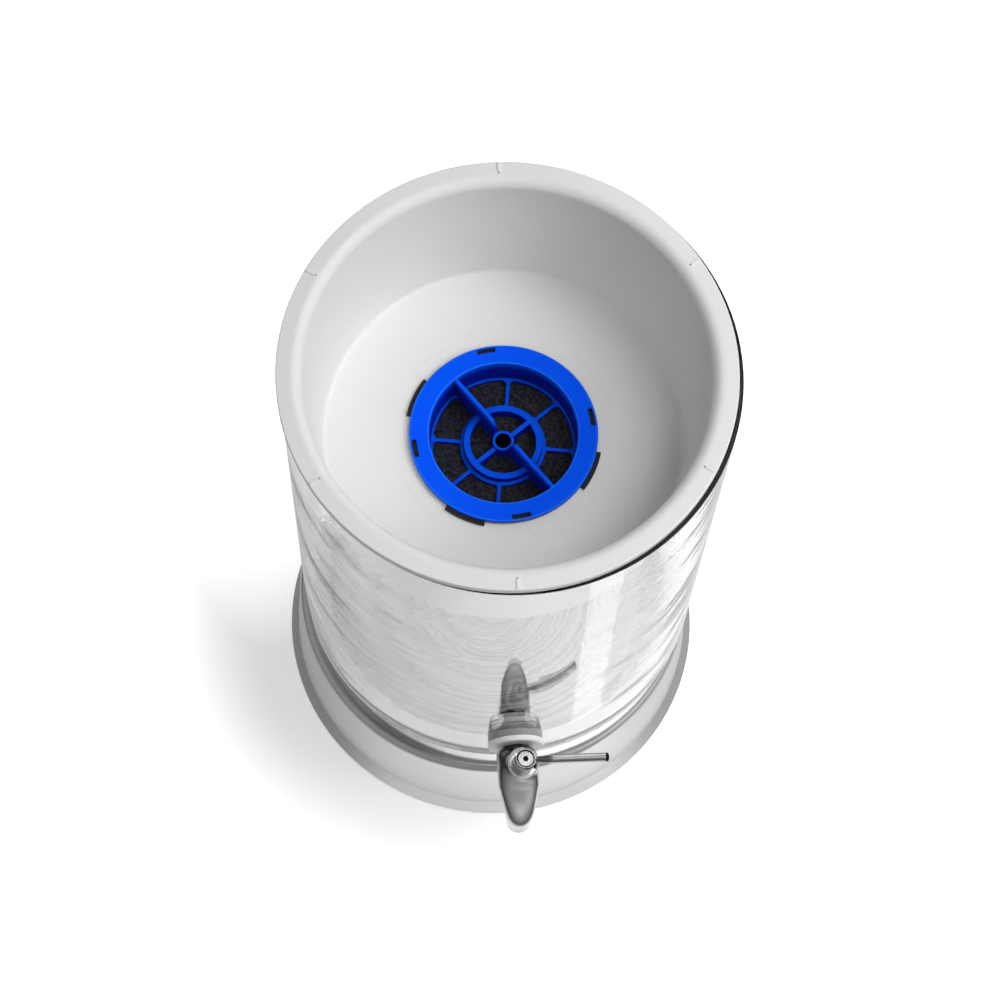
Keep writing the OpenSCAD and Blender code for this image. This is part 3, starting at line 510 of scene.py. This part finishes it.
def steel(name, shade, rough, lines, depth, painted_lean=0.0):
    """Steel with fine rings round Z, lines per metre; painted_lean paints +X lighter and -X darker.
    """
    material, shader, at = finish(name, Metallic=1.0)
    x, y, z = at.parts()
    ring = joined(span(x, y) * lines, z * lines, (x + y) * RING_DRIFT).noise(1.0, 4.0, 0.6)
    smear = at.mottle(14.0, shade * SMEARED, shade, 2.0)
    # painted reflection: lighter towards +X, darker towards -X
    smear = smear * x.ramp(-PAINTED_LEAN_HALF, PAINTED_LEAN_HALF, 1.0 - painted_lean, 1.0 + painted_lean)
    # painted shade on the two flanks of the skirt
    smear = smear * (1.0 - streaks(x, y, z)) * (1.0 - flanks(x, z))
    feed(shader, Base_Color=smear.tint(0.0, 1.0),
         Roughness=ring.ramp(0.25, 0.75, *rough),
         Normal=ring.bump(depth, 0.6))
    return material


SATIN = steel("satin_steel", 0.66, rough=(0.30, 0.40), lines=900.0, depth=0.000012)
POLISHED = steel("polished_steel", 0.78, rough=(0.07, 0.12), lines=500.0, depth=0.000002, painted_lean=0.22)
TURNED = steel("turned_steel", 0.64, rough=(0.10, 0.17), lines=1500.0, depth=0.000003)
print("made", SATIN.name, POLISHED.name, TURNED.name)

# %% [markdown]
# ## Glass
# The tank is thick pressed glass with slow ripples that run round it, strongest on both flanks and
# calm in front and at the outlines. Modelled ripples would cost many faces, so a stretched noise
# tips the normal instead. A Principled with full transmission bends the light, and lamps see
# through it by a Transparent shader, so that it casts no black shadow. The glass's own top edge
# is painted black under the tray's rim on the right, a painted dark reflection.

# %% Glass
GLASS_X, GLASS_TOP, EDGE_FROM, EDGE_FULL = 2 * MM, 397.5 * MM, 2.6 * MM, 1.8 * MM
RIGHT_FROM, RIGHT_FULL = 30 * MM, 60 * MM
RIPPLES_ROUND, RIPPLES_UP, RIPPLE_HIGH = 9.0, 22.0, 0.00022
FLANK_IN, FLANK_OUT, CALM_FRONT, WILD_FLANK = 22 * MM, 58 * MM, 0.35, 1.7
OUTLINE_IN, OUTLINE_OUT, CALM_OUTLINE = 84 * MM, 110 * MM, 0.08
GLASS_TINT, EDGE_SHADE, LAMPS_THROUGH = (0.968, 0.975, 0.972), 0.004, 0.93


def clear_glass():
    material, shader, at = finish("clear_glass", Roughness=0.0, IOR=1.5, Transmission_Weight=1.0)
    x, y, z = at.parts()
    aside = abs(x - GLASS_X)
    strong = (aside.ramp(FLANK_IN, FLANK_OUT, CALM_FRONT, WILD_FLANK)
              * aside.ramp(OUTLINE_IN, OUTLINE_OUT, 1.0, CALM_OUTLINE))
    slow = joined(x * RIPPLES_ROUND, y * RIPPLES_ROUND, z * RIPPLES_UP).noise(1.0, 2.5, 0.55)
    # painted dark reflection: the top edge on the right is near black
    edge = (z.ramp(GLASS_TOP - EDGE_FROM, GLASS_TOP - EDGE_FULL)
            * x.ramp(RIGHT_FROM, RIGHT_FULL))
    feed(shader, Base_Color=edge.tint(GLASS_TINT, EDGE_SHADE),
         Normal=(slow * strong).bump(RIPPLE_HIGH, 1.0))
    to_lamp, by_surroundings = rays(material.node_tree, "Shadow", "Diffuse")
    lamp_side = to_lamp.most(by_surroundings)
    through = lamp_side.node("ShaderNodeBsdfTransparent", None, {"Color": grey(LAMPS_THROUGH)})
    show_either(material, shader, through, lamp_side)
    return material


GLASS = clear_glass()
print("made", GLASS.name)

# %% [markdown]
# ## Rubbers, silicones and fillings
# The smaller finishes share one recipe: two close shades by a noise, a roughness range, and a fine
# bump. Only their numbers differ, so a function makes them all.

# %% Mottled finishes
ROUGH_HALF = 0.06


def mottled(name, dark, light, patches, rough, bumps, depth, **constants):
    """A finish of two shades in patches, with bumps; patches and bumps are counted per metre."""
    material, shader, at = finish(name, **constants)
    feed(shader, Base_Color=at.mottle(patches).tint(dark, light),
         Roughness=at.mottle(patches * 3.0, rough - ROUGH_HALF, rough + ROUGH_HALF),
         Normal=at.noise(bumps, 4.0, 0.6).bump(depth, 0.7))
    return material


RUBBER = mottled("black_rubber", 0.006, 0.010, 60.0, 0.55, 1500.0, 0.00003)
MILKY = mottled("milky_plastic", (0.66, 0.67, 0.68), (0.72, 0.73, 0.74),
                20.0, 0.4, 1500.0, 0.00002)
SEAL = mottled("seal_plastic", 0.75, 0.80, 30.0, 0.5, 900.0, 0.00002)
WHITE_SILICONE = mottled("white_silicone", 0.93, 0.97, 40.0, 0.35, 900.0, 0.00002)
INNER_SILICONE = mottled("inner_silicone", 0.70, 0.80, 40.0, 0.28, 900.0, 0.00002, Alpha=0.22)
CLEAR_SILICONE = mottled("clear_silicone", 0.30, 0.38, 40.0, 0.28, 900.0, 0.00002)
FABRIC = mottled("dark_fabric", (0.003, 0.003, 0.007), (0.034, 0.034, 0.046),
                 520.0, 0.85, 2600.0, 0.0003)
FOAM = mottled("pale_foam", (0.62, 0.60, 0.50), (0.74, 0.72, 0.62), 300.0, 0.9, 900.0, 0.0008)
CARBON = mottled("carbon_grain", 0.006, 0.030, 500.0, 0.7, 900.0, 0.0010)
RESIN = mottled("resin_grain", (0.42, 0.24, 0.06), (0.68, 0.46, 0.16), 700.0, 0.35, 1100.0, 0.0008)
print("made the small finishes")

# %% [markdown]
# ## The tap's casting
# The real tap is one casting: a round barrel that bends down into a spout, with a boss that grows
# out of its top in a soft fillet. The CAD skin has 32 sides and a hard corner there. A subdivision
# cage would follow neither the bores nor the fillet, so the CAD mesh is remeshed finely and every
# point is then moved onto a surface given by distances, where a soft minimum makes the fillet.

# %% Sizes of the casting, in millimetres from the CAD source
SHANK_AT = Vector((2.0, -114.6, 142.8))
VALVE_AT, VALVE_LEAN = Vector((2.0, -134.3, 134.8)), radians(7)
RUN, BEND, DROP, BODY_OUT = 7.6, 23.5, 18.2, 8.4
BARREL_R, TIP_R, FULL_LEN = 11.5, 7.1, 20.0
BEND_LEN = BEND * pi / 2
SPOUT_LEN = RUN + BEND_LEN + DROP
BORE_R, OUTLET_R, OUTLET_LEN = 4.2, 4.8, 12.0
BOSS_R, BOSS_TOP, BOSS_LOW, CHAMBER_R, CHAMBER_LOW = 8.4, 20.0, 4.0, 7.0, -1.0
NECK_R, NECK_FROM, SHANK_R, SHANK_END = 7.5, 7.0, 6.9, -17.0
THREAD_PITCH, THREAD_DEPTH, THREAD_FROM = 1.5, 0.55, -5.2
BACK_ROUND, TIP_ROUND, BOSS_ROUND, FILLET = 4.0, 1.6, 0.9, 5.0
print("spout length", round(SPOUT_LEN, 1), "mm")


# %% Two ways to join forms
def soft_least(a, b, width):
    """The smaller of two distances, blended over a width: a fillet between two forms."""
    mix = np.clip(0.5 + 0.5 * (b - a) / width, 0, 1)
    return b + (a - b) * mix - width * mix * (1 - mix)


def soft_most(a, b, width):
    """The larger of two distances, blended over a width: a rounded edge between two faces."""
    return -soft_least(-a, -b, width)


print("joined by", soft_least.__name__, "and", soft_most.__name__)


# %% Distances that describe it
def along_spout(out, up):
    """The length along the spout's bent line, and how far a point lies beside the line."""
    turned = np.arctan2(out - RUN, up + BEND)
    places = [out < RUN, (out >= RUN) & (up < -BEND)]
    length = np.select(places, [out, RUN + BEND_LEN - BEND - up], RUN + BEND * turned)
    beside = np.select(places, [up, out - RUN - BEND], np.hypot(out - RUN, up + BEND) - BEND)
    return length, beside


def spout_skin(out, length, from_line):
    """The barrel that narrows into the spout, rounded at its back and its tip."""
    left = np.clip((SPOUT_LEN - length) / (SPOUT_LEN - FULL_LEN), 0, 1)
    barrel = from_line - (TIP_R + (BARREL_R - TIP_R) * left * left)
    return soft_most(soft_most(barrel, -out, BACK_ROUND), length - SPOUT_LEN, TIP_ROUND)


def shank_skin(x, out, up):
    """The shank with its thread, and the plain neck between it and the barrel."""
    from_washer, straight = out + BODY_OUT, np.hypot(x, up)
    around = np.arctan2(up, x) / (2 * pi)
    crest = 0.5 + 0.5 * np.cos(2 * pi * (from_washer / THREAD_PITCH + around))
    thread = np.where(from_washer < THREAD_FROM, THREAD_DEPTH * crest, 0)
    shank = np.maximum(straight - SHANK_R + thread,
                       np.maximum(SHANK_END - from_washer, out - RUN))
    neck = np.maximum(straight - NECK_R, np.maximum(NECK_FROM - from_washer, out - RUN))
    return np.minimum(shank, neck)


def casting_distance(points):
    """Signed distance in millimetres from each point to the casting's skin, negative inside."""
    x, out, up = (points - np.array(SHANK_AT)).T * np.array([[1], [-1], [1]])
    out = out - BODY_OUT
    length, beside = along_spout(out, up)
    from_line = np.hypot(x, beside)
    rise = np.array((sin(VALVE_LEAN), 0, cos(VALVE_LEAN)))
    rel = points - np.array(VALVE_AT)
    high = rel @ rise
    from_axis = np.linalg.norm(rel - high[:, None] * rise, axis=1)
    boss = np.maximum(soft_most(from_axis - BOSS_R, high - BOSS_TOP, BOSS_ROUND), BOSS_LOW - high)
    body = soft_least(spout_skin(out, length, from_line), boss, FILLET)
    body = np.minimum(body, shank_skin(x, out, up))
    bore = np.where(length > SPOUT_LEN - OUTLET_LEN, OUTLET_R, BORE_R)
    body = np.maximum(body, bore - from_line)
    return np.maximum(body, np.minimum(CHAMBER_R - from_axis, high - CHAMBER_LOW))


print("casting described by", casting_distance.__name__)

# %% [markdown]
# ## The tap's steel
# The tap is small and mirrors its surroundings in narrow bands: a grey field down the spout's back
# that darkens outwards and towards the tip, a black line round it, and a lighter rim. A mirror of
# the whole studio could be built for it, but the bands follow the way the skin faces, so the
# normal sets them, and they are a painted reflection in the colour. The casting behind the body,
# towards the tank, is painted black, a painted shade.

# %% Steel of the casting
FIELD_FRONT, FIELD_LEVEL, FIELD_EDGE = 0.42, 0.50, 0.05
LINE_THIN, LINE_WIDE, LINE_BLACK, RIM_SHADE = 0.03, 0.13, 0.03, 0.36
TIP_AT, TIP_FULL, TIP_SHADE, BACK_SHADE = 112 * MM, 132 * MM, 0.18, 0.90
DEEP_FROM, DEEP_FULL, DEEP_SHADE = 0.06, 0.50, 0.38
BODY_BACK, BACK_FADE_FROM, BACK_FADE_TO = 123.0 * MM, 2.0 * MM, 1.2 * MM


def cast_steel():
    material, shader, at = finish("cast_steel", Metallic=1.0)
    _, out, high = at.parts()
    _, front, up = facing(at)
    reflection_field = up - front * FIELD_FRONT - FIELD_LEVEL
    line = abs(reflection_field).ramp(LINE_THIN, LINE_WIDE, 1.0, 0.0)
    deep = reflection_field.ramp(DEEP_FROM, DEEP_FULL, DEEP_SHADE, 1.0)
    # painted reflection: the field darkens towards its edges and towards the tip
    inside = high.ramp(TIP_AT, TIP_FULL, TIP_SHADE, BACK_SHADE) * deep * deep
    shade = reflection_field.ramp(-FIELD_EDGE, FIELD_EDGE).tint(RIM_SHADE, inside)
    # painted shade: the casting behind the body, towards the tank, is black
    behind = out.ramp(-BODY_BACK - BACK_FADE_FROM, -BODY_BACK - BACK_FADE_TO)
    rough = reflection_field.ramp(-FIELD_EDGE, FIELD_EDGE, 0.10, 0.42) + at.mottle(120.0, 0.0, 0.06)
    feed(shader, Base_Color=line.most(behind).tint(shade, LINE_BLACK), Roughness=rough,
         Normal=at.grain(900.0, 0.000004))
    return material


CAST = cast_steel()
print("made", CAST.name)

# %% [markdown]
# The lever's dark places are painted shade: the groove round its screw, the hex socket, the rod's
# end, the rod's underside and its thin neck. They stay on the piece when it turns, because they
# are set by position, measured along the valve's own axis.

# %% Steel of the lever
HUB_HIGH, WELL_FLOOR, WELL_R, HEAD_R, HEAD_TOP = 30.7, 29.2, 5.1, 4.4, 30.5
SOCKET_R, SOCKET_DEEP, HUB_R, HAIR, SKIN = 2.2, 1.4, 6.4, 0.06, 0.05
ROD_UP, ROD_REACH, ROD_NECK, NECK_LONG, END_LONG = 27.5, 47.4, 15.6, 3.0, 2.0
UNDER_FULL, UNDER_FROM, NECK_PAINTED_SHADE, END_LOW = -0.9, -0.3, 0.6, -0.1
LEVER_SHADE, LEVER_PAINTED_SHADE = 0.40, 0.015


def on_valve(at):
    """Millimetres along the rod, across it and up the valve's axis."""
    x, y, z = at.parts()
    x, y, z = x / MM - VALVE_AT.x, y / MM - VALVE_AT.y, z / MM - VALVE_AT.z
    return (x * cos(VALVE_LEAN) - z * sin(VALVE_LEAN), y,
            x * sin(VALVE_LEAN) + z * cos(VALVE_LEAN))


def lever_steel():
    material, shader, at = finish("lever_steel", Metallic=1.0)
    along, across, high = on_valve(at)
    out = span(along, across)
    groove = ((out > HEAD_R - HAIR) * (out < WELL_R + HAIR)
              * (high < HUB_HIGH - SKIN) * (high > WELL_FLOOR - SKIN))
    socket = (out < SOCKET_R) * (high < HEAD_TOP - HAIR) * (high > HEAD_TOP - SOCKET_DEEP)
    end = (along > ROD_REACH - END_LONG) * (high > ROD_UP + END_LOW)
    under = (high - ROD_UP).ramp(UNDER_FULL, UNDER_FROM, 1.0, 0.0) * (out > HUB_R)
    neck = along.ramp(ROD_NECK - NECK_LONG, ROD_NECK, NECK_PAINTED_SHADE, 0.0) * (out > HUB_R)
    # painted shade in the groove, the socket, the rod's end, under the rod and at its neck
    dark = groove.most(socket).most(end).most(under).most(neck)
    feed(shader, Base_Color=dark.tint(LEVER_SHADE, LEVER_PAINTED_SHADE),
         Roughness=at.mottle(120.0, 0.12, 0.18),
         Normal=at.grain(900.0, 0.000004))
    return material


LEVER = lever_steel()
print("made", LEVER.name)

# %% [markdown]
# ## Remeshing the casting
# A Remesh modifier cuts the CAD skin into small even squares, and each of its points is then moved
# along the slope of the distance, in short rounds, until it lies on the surface. The last cell
# prints how far off the points still are.

# %% Copies and modifiers
def copy_of(node, name):
    """A new object with its own copy of a CAD node's mesh."""
    piece = bpy.data.objects.new(name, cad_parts[node].data.copy())
    bpy.context.scene.collection.objects.link(piece)
    return piece


def bake_modifiers(piece):
    """Turn what the modifiers show into the piece's own mesh."""
    shown = piece.evaluated_get(bpy.context.evaluated_depsgraph_get())
    mesh = bpy.data.meshes.new_from_object(shown)
    piece.modifiers.clear()
    piece.data = mesh


def smooth(piece, sharp=radians(35)):
    piece.data.shade_smooth()
    piece.data.set_sharp_from_angle(angle=sharp)


print("copies are made with", copy_of.__name__)


# %% Settle
def settle(piece, distance, rounds=6, feel=0.02, longest=0.25, flattest=0.25):
    """Move every vertex along the slope of a distance until it lies on the surface."""
    mesh = piece.data
    points = np.empty(len(mesh.vertices) * 3)
    mesh.vertices.foreach_get("co", points)
    points = points.reshape(-1, 3) / MM
    for _ in range(rounds):
        slope = np.stack([distance(points + step) - distance(points - step)
                          for step in np.eye(3) * feel], axis=1) / (2 * feel)
        steep = np.maximum((slope ** 2).sum(1), flattest)
        move = (distance(points) / steep)[:, None] * slope
        reach = np.linalg.norm(move, axis=1, keepdims=True)
        points -= move * np.minimum(1, longest / np.maximum(reach, 1e-9))
    mesh.vertices.foreach_set("co", (points * MM).ravel())
    mesh.update()
    return np.abs(distance(points)).mean()


print("points are moved by", settle.__name__)

# %% Casting
VOXEL = 0.40 * MM
casting = copy_of("tap_body", "tap_casting")
remesh = casting.modifiers.new("fine_skin", "REMESH")
remesh.mode, remesh.voxel_size = "VOXEL", VOXEL
bake_modifiers(casting)
left_over = settle(casting, casting_distance)
smooth(casting)
casting.data.materials.clear()
casting.data.materials.append(CAST)
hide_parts("tap_body")
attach(casting, "vessel")
print("casting of", len(casting.data.vertices), "points, on average", round(left_over, 4), "mm off")

# %% [markdown]
# ## The cap with softened edges
# Moulded plastic has no knife edges: each edge of the blue cap catches a thin line of light. The
# CAD solid has the right form, so its mesh is copied, points that nearly meet are joined, and every
# sharp edge gets a narrow bevel. Modelling it anew would only repeat the CAD's outlines.

# %% Cap
CAP_EDGE, NEARLY_MET, MET = 0.28 * MM, 0.05 * MM, 0.002 * MM


def merge_close(piece, reach):
    """Split the faces into triangles and join the points that are closer than reach."""
    cage = bmesh.new()
    cage.from_mesh(piece.data)
    bmesh.ops.triangulate(cage, faces=cage.faces)
    bmesh.ops.remove_doubles(cage, verts=cage.verts, dist=reach)
    bmesh.ops.dissolve_degenerate(cage, edges=cage.edges, dist=reach)
    cage.to_mesh(piece.data)
    cage.free()


def soften(node, name, body, material, width, segments=2):
    """Put a copy with bevelled edges in a CAD node's place."""
    piece = copy_of(node, name)
    merge_close(piece, NEARLY_MET)
    bevel = piece.modifiers.new("soft_edges", "BEVEL")
    bevel.width, bevel.segments, bevel.use_clamp_overlap = width, segments, False
    bevel.limit_method, bevel.angle_limit = "ANGLE", radians(35)
    bake_modifiers(piece)
    merge_close(piece, MET)
    smooth(piece)
    even = piece.modifiers.new("even_shading", "WEIGHTED_NORMAL")
    even.mode, even.weight, even.keep_sharp = "FACE_AREA", 100, False
    bake_modifiers(piece)
    piece.data.materials.clear()
    piece.data.materials.append(material)
    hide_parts(node)
    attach(piece, body)
    print(name, "has", len(piece.data.polygons), "faces")


soften("filter_cap", "filter_cap_moulding", "filter", BLUE, CAP_EDGE)

# %% [markdown]
# ## The other pieces
# Every other piece keeps its CAD mesh and only gets a finish, in the slots that the frame gave it.

# %% Give the CAD nodes their finishes
FINISHES = {
    SATIN: ["stand_shell"],
    POLISHED: ["collar_band"],
    TURNED: ["tap_nut", "valve_bonnet", "valve_plug"],
    LEVER: ["lever_hub", "lever_rod", "hub_screw"],
    GLASS: ["glass_vessel"],
    CLEAR_SILICONE: ["tap_washer_back"],
    INNER_SILICONE: ["tap_washer_inner"],
    WHITE_SILICONE: ["tap_washer_front", "stand_seat_pad", "glass_pad"],
    SEAL: ["valve_liner", "filter_membrane"],
    RUBBER: ["stand_foot_ring", "filter_gasket", "plug_o_rings"],
    PALE: ["tray"],
    MILKY: ["filter_housing"],
    FABRIC: ["filter_fabric"],
    FOAM: ["filter_foam"],
    CARBON: ["carbon_bed"],
    RESIN: ["resin_bed"],
}
for material, nodes in FINISHES.items():
    for node in nodes:
        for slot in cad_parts[node].material_slots:
            slot.material = material
print("finished", sum(len(n) for n in FINISHES.values()), "nodes")
